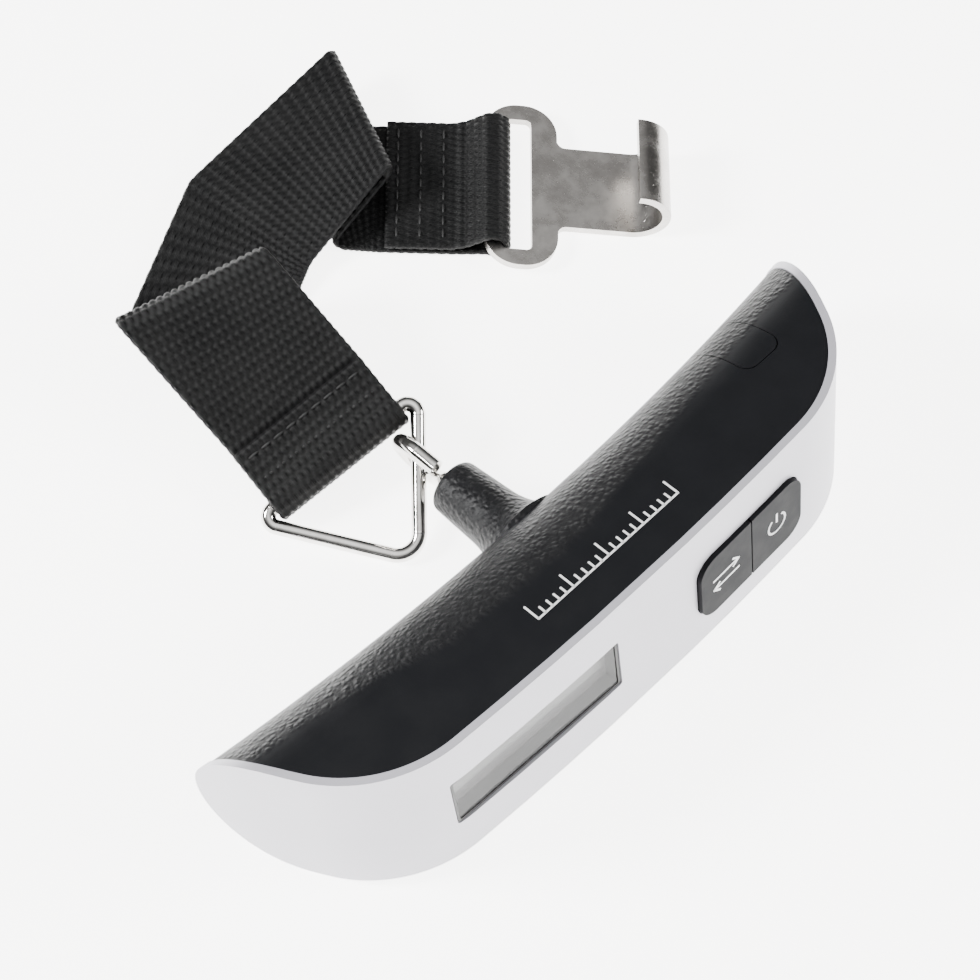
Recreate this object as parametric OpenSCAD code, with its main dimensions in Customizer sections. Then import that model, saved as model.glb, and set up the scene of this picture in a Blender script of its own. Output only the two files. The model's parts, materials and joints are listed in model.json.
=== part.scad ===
// Digital luggage scale: a crescent handle with a display and two keys, a swivelling eye that
// pulls on a load cell, a triangle ring, a folded webbing strap and a sheet metal hook.
// Millimetres. The scale lies on a table: the handle leans back on its round rear side.

/* [Handle] */
// Height of the silver front cover
body_t = 30; // [28:0.5:32]
// Radius of the long front curve
front_r = 624; // [500:1:800]
// Radius of the two corner curves
corner_r = 24; // [22:0.5:26]
// Wall of the silver front cover
cover_wall = 1.3; // [1:0.1:1.6]
// Wall of the black housing
housing_wall = 1.8; // [1.5:0.1:2]
// Step from the cover's rim down to the housing
rim_step = 0.2; // [0.1:0.05:0.4]
// Lean of the handle on the table, in degrees
lean = 12; // [10:1:14]

/* [Neck] */
// Radius of the neck at its end
neck_r = 4.7; // [4.5:0.1:5]
// Distance of the neck's end from the handle's middle plane
neck_end = 23.8; // [23:0.1:25]

/* [Display and keys] */
// Width of the window
window_w = 34; // [32:0.5:36]
// Height of the window
window_h = 12; // [10:0.5:13]
// Width of both keys together
keys_w = 24; // [22:0.5:25]
// Height of the keys
keys_h = 14.6; // [13:0.1:15]
// How far a key stands out of the cover
key_proud = 0.7; // [0.4:0.1:1]

/* [Load path] */
// Radius of the swivel eye's rod
rod_r = 1.4; // [1.3:0.05:1.45]
// Radius of the triangle ring's wire
ring_wire_r = 1.25; // [1.1:0.05:1.3]
// Width of the webbing
strap_w = 26; // [25:0.5:26]
// Thickness of the webbing
strap_t = 1.4; // [1.2:0.1:1.4]
// Thickness of the hook's sheet metal
hook_t = 1.5; // [1.2:0.1:1.5]
// Width of the hook's stem
hook_stem_w = 16.3; // [14:0.1:18]
// Inner radius of the hook's bend
hook_bend_r = 4.6; // [4:0.1:4.8]

/* [Battery] */
// Radius of the coin cell
cell_r = 10; // [10:0.1:10]
// Thickness of the coin cell
cell_t = 3.2; // [3.2:0.1:3.2]
// Width of the battery door
door_w = 8; // [7.5:0.1:8.5]

/* [Hidden] */

// Where the laid-out scale stands: its middle is over the origin and its lowest point is at zero.
middle_x = 6.12;
middle_y = 41.58;
rest_drop = 0.19;

gap = 0.1;
eps = 0.01;
mid_z = body_t / 2;
front_y = -19.3;
front_sweep = 3.4;
corner_sweep = 57;
side_r = 68;
side_sweep = 23.4;
rear_y = 8.9;
rear_r = 492;
rear_fine = 720;
wall_in = front_y + cover_wall;

// Display: centre, and the turn that follows the front curve there
window_x = -23;
window_z = 15;
screen_turn = -window_x / front_r * 180 / PI;
screen_v = front_y + front_r - sqrt(front_r * front_r - window_x * window_x) + cover_wall;

// Keys: centre, and the turn that follows the front curve there
keys_x = 23.2;
keys_z = 13.6;
keys_turn = keys_x / front_r * 180 / PI;
keys_v = front_y + front_r - sqrt(front_r * front_r - keys_x * keys_x) + cover_wall;
key_gap = 0.25;
key_corner = 3.6;
key_travel = 0.5;

// Circuit board
board_y = -12.4;
board_t = 1.2;
board_x0 = -48;
board_x1 = 38.5;
board_z0 = 5;
board_z1 = 25;
board_screw_x = [-45.5, 35.8];
boss_r = 2.6;
switch_y = board_y - 2.2;
plunger_r = 1.5;

// Load cell
cell_beam_y = -1;
cell_beam_t = 6;
cell_beam_h = 12;
cell_beam_w = 58;
cell_screw_x = 24;
cell_screw_r = 1.45;
rod_hole_r = rod_r + 0.05;
bush_r = 3;
bush_len = 7;

// Battery, standing on edge behind the door
battery_x = 43.4;
battery_y = -2.4;
door_t = 1.6;
door_front = -4.6;
door_corner = 2.2;
cell_room = cell_t + 1.4;

// Swivel eye: its loop stands in a plane through the neck's axis, and the rod runs into it from
// eye_start. The loop's other end stops short of the neck at eye_tip.
loop_r = 4.4;
loop_y = 31;
eye_start = [25, 0];
eye_tip = [25.9, 3.6];
eye_turn = 104;

// Triangle ring: its three sharp corners on the table's frame
ring_a = [-25.2, 45.6, 2.9];
ring_b = [-10.4, 22.8, 1.4];
ring_c = [6.7, 41.2, 12.1];
ring_tight = 1.7;
ring_wide = 3.6;

// Webbing: left and right end of each crease, from the ring to the hook
loop_gap = 0.15;
hem_ring = 10.5;
hem_hook = 18.5;
crease_left = [
    [-21.8, 82, 17.4], [-14.9, 89, 0.8], [11, 102, 2.4], [44.6, 101.4, 10.6], [43.9, 101.3, 7.4], [31, 100.6, 0.75]
];
crease_right = [
    [4.3, 76.2, 20.8], [6.5, 71.6, 0.8], [14.7, 75.2, 3.2], [34.6, 76.4, 11.6], [34, 76.3, 8.4], [20, 76.2, 0.75]
];
crease_round = [2.2, 1.6, 5, 1.3, 1.3, 1.3];
round_steps = 5;

// Hook: middle of its slot's far edge, and its lie on the table
hook_x = 53.4;
hook_y = 60.6;
hook_turn = -45;
hook_dip = 5.9;
slot_len = 5.3;
slot_w = 26.8;
bar_w = 3;
head_w = 33;
head_far = 4.6;
stem_len = 17.3;
lip_turn = 180;
lip_len = 0.4;
bar_gap = 0.15;

// ---------- outlines and frames ----------

// Points of an arc that starts at [x, y] with heading a0 and turns left through sweep
function arc(x, y, a0, r, sweep, n) =
    [for (i = [1 : n]) let (a = a0 + sweep * i / n) [x + r * (sin(a) - sin(a0)), y + r * (cos(a0) - cos(a))]];

// Right half of the front outline, moved inwards by t: three arcs that run into each other
function half_front(t) =
    let (
        p0 = [0, front_y + t],
        a1 = arc(p0.x, p0.y, 0, front_r - t, front_sweep, 4),
        p1 = a1[len(a1) - 1],
        a2 = arc(p1.x, p1.y, front_sweep, corner_r - t, corner_sweep, 22),
        p2 = a2[len(a2) - 1],
        a3 = arc(p2.x, p2.y, front_sweep + corner_sweep, side_r - t, side_sweep, 10),
        p3 = a3[len(a3) - 1],
        h = front_sweep + corner_sweep + side_sweep
    )
    concat(a1, a2, a3, [p3 + 5 * [cos(h), sin(h)]]);

function flip(points) = [for (i = [len(points) - 1 : -1 : 0]) [-points[i].x, points[i].y]];

module front_outline(t) polygon(concat(flip(half_front(t)), half_front(t)));

// Handle's rear form: a slot shape with a half-round inner end, turned about an axis behind it
module rear_form(t) {
    translate([0, rear_y + rear_r, 0])
        rotate([0, 0, -99])
            rotate_extrude(angle = 18, $fn = rear_fine) {
                translate([rear_r + mid_z, t]) square([40, body_t - 2 * t]);
                translate([rear_r + mid_z, mid_z]) circle(mid_z - t, $fn = 96);
            }
}

module handle_form(t_front, t_rear) {
    intersection() {
        translate([0, 0, -1]) linear_extrude(body_t + 2) front_outline(t_front);
        rear_form(t_rear);
    }
}

// The table's frame, with the origin under the middle of the laid-out scale
module on_table() translate([-middle_x, -middle_y, 0]) children();

// The handle's frame: X along the handle, Y towards the neck's end, Z across its thickness
module in_handle() on_table() translate([0, 0, -rest_drop]) rotate([-lean, 0, 0]) children();

// A cylinder along +Y from y0 to y1
module rod_y(r, y0, y1, fine = 48) translate([0, y0, 0]) rotate([-90, 0, 0]) cylinder(r = r, h = y1 - y0, $fn = fine);

// A rounded bar along +Y from y0 to y1: w along X, h along Z, corner radius r
module pad_y(w, h, r, y0, y1) {
    translate([0, y1, 0]) rotate([90, 0, 0]) linear_extrude(y1 - y0) {
        square([w - 2 * r, h], center = true);
        square([w, h - 2 * r], center = true);
        for (sx = [-1, 1]) for (sz = [-1, 1])
            translate([sx * (w / 2 - r), sz * (h / 2 - r)]) circle(r, $fn = 40);
    }
}

module at_screen() translate([window_x, screen_v, window_z]) rotate([0, 0, -screen_turn]) children();
module at_keys() translate([keys_x, keys_v, keys_z]) rotate([0, 0, keys_turn]) children();

// ---------- shells ----------

module front_cover() color([0.82, 0.82, 0.84]) in_handle() {
    difference() {
        handle_form(0, 0);
        translate([0, 0, -2]) linear_extrude(body_t + 4) front_outline(cover_wall);
        at_screen() pad_y(window_w, window_h, 0.6, -4, 4);
        at_keys() pad_y(keys_w + 0.4, keys_h + 0.4, key_corner + 0.2, -4, 4);
    }
    // Snap tongues that reach into the housing above and below
    for (x = [-34, 0, 33]) for (s = [-1, 1])
        translate([x - 3.5, wall_in - 0.5 + abs(x) * 0.03, mid_z + s * (mid_z - 2.7) - 0.5]) cube([7, 5, 1]);
}

module neck_form() {
    flare = 4.2;
    rotate([-90, 0, 0]) rotate_extrude($fn = 96)
        polygon(concat(
            [[0, 2], [neck_r + 3.4, 2]],
            [for (i = [0 : 8]) let (a = i * 10) [neck_r + 0.4 + flare * (1 - sin(a)), rear_y - 2.2 + 9 * (1 - cos(a))]],
            [for (i = [0 : 5]) let (a = i * 18) [neck_r - 1 + cos(a), neck_end - 1 + sin(a)]],
            [[0, neck_end]]
        ));
}

module door_cut(extra) {
    // Strip over the round rear side, from one flat face to the other, with rounded ends
    w = door_w + 2 * extra;
    for (s = [0, 1]) translate([battery_x, door_front - extra, s * (body_t - 9) - 1]) {
        translate([-w / 2, door_corner, 0]) cube([w, 20, 11]);
        translate([-w / 2 + door_corner, 0, 0]) cube([w - 2 * door_corner, 20, 11]);
        for (t = [-1, 1]) translate([t * (w / 2 - door_corner), door_corner, 0]) cylinder(r = door_corner, h = 11, $fn = 40);
    }
    translate([battery_x - w / 2, mid_z - 10, 5]) cube([w, 10, body_t - 10]);
}

module housing() color([0.17, 0.17, 0.18]) in_handle() {
    difference() {
        union() {
            difference() {
                union() {
                    handle_form(cover_wall + gap, rim_step);
                    translate([0, 0, mid_z]) neck_form();
                }
                // Inside, open towards the front cover
                handle_form(-3, rim_step + housing_wall);
            }
            // Rear wall bosses for the load cell, and the board's bosses
            for (s = [-1, 1]) translate([s * cell_screw_x, 0, mid_z]) rod_y(3.4, cell_beam_y + cell_beam_t, 8.4);
            for (x = board_screw_x) translate([x, 0, board_z0 + 2.5]) {
                intersection() {
                    rod_y(boss_r, board_y + board_t, 9);
                    translate([-x, 0, -board_z0 - 2.5]) handle_form(-3, rim_step + 0.4);
                }
            }
        }
        // Neck bore and the bush's seat
        translate([0, 0, mid_z]) rod_y(2.2, -2, neck_end - bush_len + eps);
        translate([0, 0, mid_z]) rod_y(bush_r, neck_end - bush_len, neck_end + 1);
        for (s = [-1, 1]) translate([s * cell_screw_x, 0, mid_z]) rod_y(cell_screw_r, 4, 8.2, 32);
        for (x = board_screw_x) translate([x, 0, board_z0 + 2.5]) rod_y(1, board_y, board_y + 8, 24);
        // Seat of the battery door, and the slot that the coin cell stands in
        difference() {
            door_cut(0.15);
            handle_form(-3, rim_step + door_t + 0.1);
        }
        translate([battery_x - 3.1, battery_y - 5, mid_z - cell_r - 0.6]) cube([6.2, 20, 2 * cell_r + 1.2]);
    }
}

module battery_door() color([0.16, 0.16, 0.17]) in_handle() {
    difference() {
        intersection() {
            door_cut(0);
            handle_form(-3, rim_step);
        }
        handle_form(-3, rim_step + door_t);
    }
    // Two ribs that hold the cell's edge
    for (s = [-1, 1]) translate([battery_x + s * 2.4 - 0.4, battery_y + 8.2, mid_z - 4]) cube([0.8, 3.8, 8]);
}

module neck_bush() color([0.5, 0.5, 0.5]) in_handle() translate([0, 0, mid_z]) difference() {
    rod_y(bush_r - 0.02, neck_end - bush_len + eps, neck_end - 0.4);
    rod_y(rod_hole_r, neck_end - bush_len - 1, neck_end + 1);
}

// ---------- display ----------

module lcd_window() color([0.8, 0.82, 0.82, 0.4]) in_handle() at_screen()
    pad_y(window_w - 1.4, window_h - 1.4, 0.3, -0.6, 1.2);

// The frame's collar stands in the cover's opening and shows as a thin black border
module lcd_frame() color([0.1, 0.1, 0.1]) in_handle() at_screen() difference() {
    union() {
        pad_y(window_w + 3.4, window_h + 5, 0.8, 1.25, 4.1);
        pad_y(window_w - 0.3, window_h - 0.3, 0.5, -0.8, 1.5);
    }
    pad_y(window_w - 1.2, window_h - 1.2, 0.4, -2, 1.9);
    pad_y(window_w + 1.6, window_h + 3, 0.4, 1.85, 5);
}

module lcd_panel() color([0.45, 0.5, 0.46]) in_handle() at_screen() pad_y(window_w + 1.4, window_h + 2.8, 0.3, 1.95, 3.35);

module backlight() color([0.95, 0.95, 0.92]) in_handle() at_screen()
    translate([0, 0, 0.9]) pad_y(window_w + 1.4, window_h - 0.4, 0.3, 3.4, 4.1);

module lcd_connector() color([0.75, 0.4, 0.45]) in_handle() at_screen()
    translate([-15, 3.4, -window_h / 2 - 1.3]) cube([30, 0.7, 1.6]);

// ---------- board and keys ----------

module circuit_board() color([0.1, 0.4, 0.22]) in_handle() difference() {
    translate([board_x0, board_y, board_z0]) cube([board_x1 - board_x0, board_t, board_z1 - board_z0]);
    for (x = board_screw_x) translate([x, 0, board_z0 + 2.5]) rod_y(1.2, board_y - 1, board_y + 3, 24);
}

module board_screws() color([0.6, 0.6, 0.6]) in_handle() for (x = board_screw_x) translate([x, 0, board_z0 + 2.5]) {
    difference() {
        rod_y(2, board_y - 1.3, board_y - 0.02, 32);
        translate([-1.2, board_y - 1.4, -0.25]) cube([2.4, 0.6, 0.5]);
        translate([-0.25, board_y - 1.4, -1.2]) cube([0.5, 0.6, 2.4]);
    }
    rod_y(0.95, board_y - 0.1, board_y + 7, 24);
}

module controller_blob() color([0.05, 0.05, 0.05]) in_handle() translate([-20, board_y + board_t + eps, 14])
    rotate([-90, 0, 0]) rotate_extrude($fn = 64)
        polygon(concat([[0, 0]], [for (i = [0 : 6]) [4.8 * cos(i * 15), 1.7 * sin(i * 15)]]));

module key_cap(s) {
    // s is -1 for the left key and 1 for the right key; both share one rounded outline
    intersection() {
        pad_y(keys_w, keys_h, key_corner, -cover_wall - key_proud, 0.3);
        translate([s > 0 ? key_gap / 2 : -20 - key_gap / 2, -5, -20]) cube([20, 10, 40]);
    }
    translate([s * (keys_w / 4 + 0.4), 0, 0]) {
        pad_y(keys_w / 2 + 0.2, keys_h + 1.6, 0.8, 0.25, 1);
        rod_y(2, 0.9, switch_y - 0.95 - keys_v - s * 0.22, 40);
    }
}

module unit_key() color([0.13, 0.13, 0.14]) in_handle() at_keys() key_cap(-1);
module power_key() color([0.13, 0.13, 0.14]) in_handle() at_keys() key_cap(1);

module switch_body(s) translate([keys_x + s * 6.4, 0, keys_z]) difference() {
    translate([-3, switch_y, -3]) cube([6, board_y - switch_y - eps, 6]);
    rod_y(plunger_r + 0.1, switch_y - 1, switch_y + 1.6, 40);
}

module unit_switch() color([0.2, 0.2, 0.2]) in_handle() switch_body(-1);
module power_switch() color([0.2, 0.2, 0.2]) in_handle() switch_body(1);

module plunger(s) translate([keys_x + s * 6.4, 0, keys_z]) rod_y(plunger_r, switch_y - 0.9, switch_y + 0.9, 40);
module unit_plunger() color([0.8, 0.3, 0.2]) in_handle() plunger(-1);
module power_plunger() color([0.8, 0.3, 0.2]) in_handle() plunger(1);

// ---------- load path ----------

module load_cell() color([0.75, 0.76, 0.78]) in_handle() translate([0, 0, mid_z]) difference() {
    translate([-cell_beam_w / 2, cell_beam_y, -cell_beam_h / 2]) cube([cell_beam_w, cell_beam_t - 0.02, cell_beam_h]);
    rod_y(rod_hole_r + 0.3, cell_beam_y - 1, cell_beam_y + cell_beam_t + 1);
    for (s = [-1, 1]) {
        translate([s * cell_screw_x, 0, 0]) rod_y(cell_screw_r + 0.15, cell_beam_y - 1, cell_beam_y + cell_beam_t + 1, 32);
        translate([s * 12, cell_beam_y + cell_beam_t / 2, -cell_beam_h]) cylinder(r = 2, h = 2 * cell_beam_h, $fn = 40);
    }
}

module load_cell_screws() color([0.6, 0.6, 0.62]) in_handle() for (s = [-1, 1]) translate([s * cell_screw_x, 0, mid_z]) {
    difference() {
        rod_y(2.8, cell_beam_y - 2, cell_beam_y - 0.02, 40);
        translate([-1.8, cell_beam_y - 2.1, -0.35]) cube([3.6, 1, 0.7]);
        translate([-0.35, cell_beam_y - 2.1, -1.8]) cube([0.7, 1, 3.6]);
    }
    rod_y(cell_screw_r - 0.03, cell_beam_y - 0.5, 8, 32);
}

module strain_gauges() color([0.85, 0.6, 0.3]) in_handle() for (s = [-1, 1])
    translate([s * 12 - 3, cell_beam_y - 0.16, mid_z - 2]) cube([6, 0.15, 4]);

// Flat cable from the gauges to the board, with one bend
module gauge_cable() color([0.75, 0.1, 0.1]) in_handle() {
    translate([8.5, cell_beam_y - 3.2, mid_z + 2.6]) cube([0.8, 3, 3]);
    translate([8.5, board_y + board_t + eps, mid_z + 2.6]) cube([0.8, cell_beam_y - 3.1 - board_y - board_t, 3]);
    translate([9.2, cell_beam_y - 0.9, mid_z + 2.6]) cube([4, 0.7, 3]);
}

// Heading and length of the straight piece from p to the loop, which it meets on the side s
function eye_heading(p, s) = atan2(-p.y, loop_y - p.x) + s * asin(loop_r / norm([loop_y - p.x, p.y]));
function eye_reach(p) = sqrt(pow(norm([loop_y - p.x, p.y]), 2) - loop_r * loop_r);

module eye_side(p, s, from) translate([0, p.x, p.y]) rotate([eye_heading(p, s), 0, 0]) {
    // The side stops a hair short of the loop, and a ball joins the two
    rod_y(rod_r, from, eye_reach(p) - 0.1);
    translate([0, eye_reach(p), 0]) sphere(rod_r + 0.02, $fn = 48);
}

// The rod, a straight piece to the loop's lower side, the round loop and the straight upper end
module eye_path() {
    low = eye_heading(eye_start, -1) - 90;
    high = eye_heading(eye_tip, 1) + 90;
    rod_y(rod_r, -5.6, eye_start.x - 0.1);
    translate([0, eye_start.x, 0]) sphere(rod_r + 0.02, $fn = 48);
    eye_side(eye_start, -1, 0.1);
    translate([0, loop_y, 0]) rotate([90, 0, 90]) rotate([0, 0, low]) rotate_extrude(angle = high - low, $fn = 120)
        translate([loop_r, 0]) circle(rod_r, $fn = 48);
    eye_side(eye_tip, 1, 0);
}

module swivel_eye() color([0.75, 0.74, 0.72]) in_handle() translate([0, 0, mid_z])
    rotate([0, 90 - eye_turn, 0]) eye_path();

module eye_washer() color([0.7, 0.7, 0.7]) in_handle() translate([0, 0, mid_z]) difference() {
    rod_y(4.4, cell_beam_y - 1.05, cell_beam_y - 0.05);
    rod_y(rod_r + 0.02, cell_beam_y - 2, cell_beam_y + 1);
}

module eye_nut() color([0.65, 0.65, 0.65]) in_handle() translate([0, 0, mid_z]) difference() {
    rod_y(3.1, cell_beam_y - 3.6, cell_beam_y - 1.1, 6);
    rod_y(rod_r + 0.02, cell_beam_y - 5, cell_beam_y + 1);
}

// ---------- battery ----------

module battery_holder() color([0.12, 0.12, 0.12]) in_handle() translate([battery_x, battery_y, mid_z]) difference() {
    translate([-3, -cell_r - 1, -cell_r - 0.5]) cube([6, cell_r + 6, 2 * cell_r + 1]);
    translate([-cell_room / 2, 0, 0]) rotate([0, 90, 0]) cylinder(r = cell_r + 0.15, h = cell_room, $fn = 96);
    translate([-cell_room / 2, 0, -cell_r - 0.15]) cube([cell_room, 20, 2 * cell_r + 0.3]);
    translate([-5, 2, -6]) cube([10, 10, 12]);
}

module coin_cell() color([0.8, 0.8, 0.78]) in_handle() translate([battery_x - cell_t / 2, battery_y, mid_z]) rotate([0, 90, 0]) {
    cylinder(r = cell_r, h = cell_t - 0.5, $fn = 96);
    cylinder(r = cell_r - 1.2, h = cell_t, $fn = 96);
}

module positive_contact() color([0.8, 0.75, 0.5]) in_handle()
    translate([battery_x - cell_room / 2 + 0.02, battery_y - 7, mid_z - 2]) cube([0.6, 12, 4]);

module negative_contact() color([0.8, 0.75, 0.5]) in_handle()
    translate([battery_x + cell_t / 2 + 0.02, battery_y - 5, mid_z - 2]) cube([0.6, 9, 4]);

// ---------- ring ----------

function unit(v) = v / norm(v);

// The ring lies in one plane; ring_flat holds its corners there, in turning order
ring_axis = unit(cross(ring_b - ring_a, ring_c - ring_a));
ring_polar = acos(ring_axis.z);
ring_azim = atan2(ring_axis.y, ring_axis.x);
ring_x = [cos(ring_polar) * cos(ring_azim), cos(ring_polar) * sin(ring_azim), -sin(ring_polar)];
ring_y = [-sin(ring_azim), cos(ring_azim), 0];
ring_flat = [for (q = [ring_a, ring_b, ring_c]) [(q - ring_a) * ring_x, (q - ring_a) * ring_y]];
ring_bends = [ring_tight, ring_wide, ring_tight];
function ring_heading(i) = let (d = ring_flat[(i + 1) % 3] - ring_flat[i % 3]) atan2(d.y, d.x);
function ring_turn(i) = (ring_heading(i) - ring_heading(i + 2) + 720) % 360;
function ring_cut(i) = ring_bends[i % 3] * tan(ring_turn(i) / 2);

// One corner of the ring and the straight side after it
module ring_corner(i) {
    a = ring_heading(i + 2);
    b = ring_heading(i);
    bend = ring_bends[i];
    side = norm(ring_flat[(i + 1) % 3] - ring_flat[i]) - ring_cut(i) - ring_cut(i + 1);
    translate(ring_flat[i] - ring_cut(i) * [cos(a), sin(a)] + bend * [-sin(a), cos(a)])
        rotate([0, 0, a - 90]) rotate_extrude(angle = ring_turn(i), $fn = 96)
            translate([bend, 0]) circle(ring_wire_r, $fn = 48);
    // The side stops a hair short of each bend, and a ball joins the two
    translate(ring_flat[i] + ring_cut(i) * [cos(b), sin(b)]) rotate([0, 0, b - 90]) {
        rod_y(ring_wire_r, 0.1, side - 0.1);
        sphere(ring_wire_r + 0.02, $fn = 48);
        translate([0, side, 0]) sphere(ring_wire_r + 0.02, $fn = 48);
    }
}

module triangle_ring() color([0.78, 0.78, 0.76]) on_table()
    translate(ring_a) rotate([0, ring_polar, ring_azim]) for (i = [0 : 2]) ring_corner(i);

// ---------- webbing ----------

// Rounds the corner at q of a path p, q, s with a circle of radius r, in n steps
function rounded(p, q, s, r, n) =
    let (
        u = unit(p - q),
        v = unit(s - q),
        half = acos(max(-1, min(1, u * v))) / 2,
        cut = min(r / tan(half), 0.46 * min(norm(p - q), norm(s - q))),
        rr = cut * tan(half),
        centre = q + unit(u + v) * rr / sin(half),
        a = q + u * cut - centre,
        turn = 180 - 2 * half,
        w = unit(q + v * cut - centre - a * cos(turn))
    )
    [for (i = [0 : n]) let (t = turn * i / n) centre + a * cos(t) + w * rr * sin(t)];

ring_u = unit(ring_c - ring_a);
ring_mid = (ring_a + ring_c) / 2;
edge_l = ring_mid - ring_u * strap_w / 2;
edge_r = ring_mid + ring_u * strap_w / 2;
crease_mid = (crease_left[0] + crease_right[0]) / 2;
away = crease_mid - ring_mid;
ring_s = unit(away - ring_u * (away * ring_u));
ring_n = cross(ring_u, ring_s);
loop_mid = ring_wire_r + loop_gap + strap_t / 2;
half_t = strap_t / 2 + 0.03;

// The hem over the ring: from the raw edge, round the wire and back underneath
function ring_loop(e) = concat(
    [e + ring_s * hem_ring + ring_n * half_t, e + ring_s * 5.4 + ring_n * half_t, e + ring_s * 4 + ring_n * 0.95],
    [for (i = [0 : 8]) let (a = 58 + i * 30.5) e + loop_mid * (ring_s * cos(a) + ring_n * sin(a))],
    [e + ring_s * 4 - ring_n * 0.95, e + ring_s * 5.4 - ring_n * half_t, e + ring_s * (hem_ring + 1) - ring_n * half_t]
);

// The hook's frame on the table: h runs along the stem, w across it
hook_h = [cos(hook_turn), sin(hook_turn), 0];
hook_w = [-sin(hook_turn), cos(hook_turn), 0];
bar_mid_h = -slot_len - bar_w / 2;
bar_r = norm([bar_w, hook_t]) / 2 + bar_gap;
bar_z = bar_r + strap_t + 0.05;
bar_loop = bar_r + strap_t / 2;
bar_at = [hook_x, hook_y, 0] + hook_h * bar_mid_h;

// The hem over the hook's bar: on the table, round the bar and back on top
function hook_loop(side) =
    let (e = bar_at + hook_w * side * strap_w / 2, up = [0, 0, 1])
    concat(
        [e - hook_h * (hem_hook + 1) + up * half_t, e - hook_h * 6.5 + up * half_t],
        [e - hook_h * 4.4 + up * (half_t + 0.1)],
        [for (i = [0 : 8]) let (a = -118 + i * 29.5) e + up * bar_z + bar_loop * (hook_h * cos(a) + up * sin(a))],
        [e - hook_h * 4.4 + up * (3 * half_t + 0.9), e - hook_h * 7 + up * 3 * half_t],
        [e - hook_h * hem_hook + up * 3 * half_t]
    );

function creased(points, before, after) =
    let (p = concat([before], points, [after]))
    [for (i = [1 : len(points)]) each rounded(p[i - 1], p[i], p[i + 1], crease_round[i - 1], round_steps)];

ring_l = ring_loop(edge_l);
ring_r = ring_loop(edge_r);
hook_l = hook_loop(1);
hook_r = hook_loop(-1);
path_l = concat(ring_l, creased(crease_left, ring_l[len(ring_l) - 1], hook_l[0]), hook_l);
path_r = concat(ring_r, creased(crease_right, ring_r[len(ring_r) - 1], hook_r[0]), hook_r);

function tangent(p, i) = unit(p[min(i + 1, len(p) - 1)] - p[max(i - 1, 0)]);
function side_normal(p, i) = unit(cross(path_r[i] - path_l[i], tangent(p, i)));

module strap() color([0.08, 0.08, 0.085]) on_table() {
    n = len(path_l);
    points = [for (i = [0 : n - 1]) let (a = side_normal(path_l, i) * strap_t / 2, b = side_normal(path_r, i) * strap_t / 2)
        each [path_l[i] + a, path_r[i] + b, path_r[i] - b, path_l[i] - a]];
    sides = [for (i = [0 : n - 2]) for (k = [0 : 3])
        let (a = 4 * i + k, b = 4 * i + (k + 1) % 4) each [[a, b, b + 4], [a, b + 4, a + 4]]];
    polyhedron(points, concat([[2, 1, 0], [3, 2, 0]], sides, [[4 * n - 4, 4 * n - 3, 4 * n - 2], [4 * n - 4, 4 * n - 2, 4 * n - 1]]));
}

// ---------- hook ----------

module hook_plate() {
    r = 6;
    x0 = -slot_len - bar_w;
    difference() {
        union() {
            translate([x0 + r, -head_w / 2]) square([head_far - x0 - 2 * r, head_w]);
            translate([x0, -head_w / 2 + r]) square([head_far - x0, head_w - 2 * r]);
            for (x = [x0 + r, head_far - r]) for (s = [-1, 1]) translate([x, s * (head_w / 2 - r)]) circle(r, $fn = 64);
            translate([0, -hook_stem_w / 2]) square([stem_len + eps, hook_stem_w]);
            // Fillets between the head and the stem
            for (s = [-1, 1]) translate([head_far, s * (hook_stem_w / 2)]) difference() {
                translate([-0.5, s > 0 ? -0.5 : -1]) square([2, 1.5]);
                translate([1.5, s * 1.5]) circle(1.5, $fn = 40);
                translate([1.5, -5]) square([5, 10]);
            }
        }
        for (x = [-slot_len + 1, -1]) for (s = [-1, 1]) translate([x, s * (slot_w / 2 - 1)]) circle(1, $fn = 32);
        translate([-slot_len + 1, -slot_w / 2]) square([slot_len - 2, slot_w]);
        translate([-slot_len, -slot_w / 2 + 1]) square([slot_len, slot_w - 2]);
    }
}

module hook_shape() {
    linear_extrude(hook_t) hook_plate();
    translate([stem_len, 0, hook_bend_r + hook_t]) rotate([90, 0, 0]) {
        rotate([0, 0, -90]) translate([0, 0, -hook_stem_w / 2]) rotate_extrude(angle = lip_turn, $fn = 96)
            translate([hook_bend_r, 0]) square([hook_t, hook_stem_w]);
        rotate([0, 0, lip_turn - 90]) translate([hook_bend_r, 0, -hook_stem_w / 2])
            translate([0, -eps, 0]) cube([hook_t, lip_len, hook_stem_w]);
    }
}

module hook() color([0.62, 0.6, 0.58]) on_table()
    translate([bar_at.x, bar_at.y, bar_z]) rotate([0, 0, hook_turn]) rotate([0, hook_dip, 0])
        translate([-bar_mid_h, 0, -hook_t / 2]) hook_shape();

front_cover();
housing();
battery_door();
neck_bush();
lcd_window();
lcd_frame();
lcd_panel();
backlight();
lcd_connector();
circuit_board();
board_screws();
controller_blob();
unit_key();
power_key();
unit_switch();
power_switch();
unit_plunger();
power_plunger();
load_cell();
load_cell_screws();
strain_gauges();
gauge_cable();
swivel_eye();
eye_washer();
eye_nut();
battery_holder();
coin_cell();
positive_contact();
negative_contact();
triangle_ring();
strap();
hook();
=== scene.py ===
# %% [markdown]
# # A digital luggage scale
# The scale lies on a pale table: a black handle with a silver front cover, a swivelling
# eye, a triangle ring, a folded webbing strap and a sheet metal hook. The exact shapes come
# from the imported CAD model. Here they get their finishes, and the parts whose charm is in
# small detail - the woven strap, its stitches, the pressed hook, the display - are built
# again with Blender's own tools.

# %% Load the frame
import json
import math

import bmesh
import bpy
from mathutils import Matrix, Vector

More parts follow.
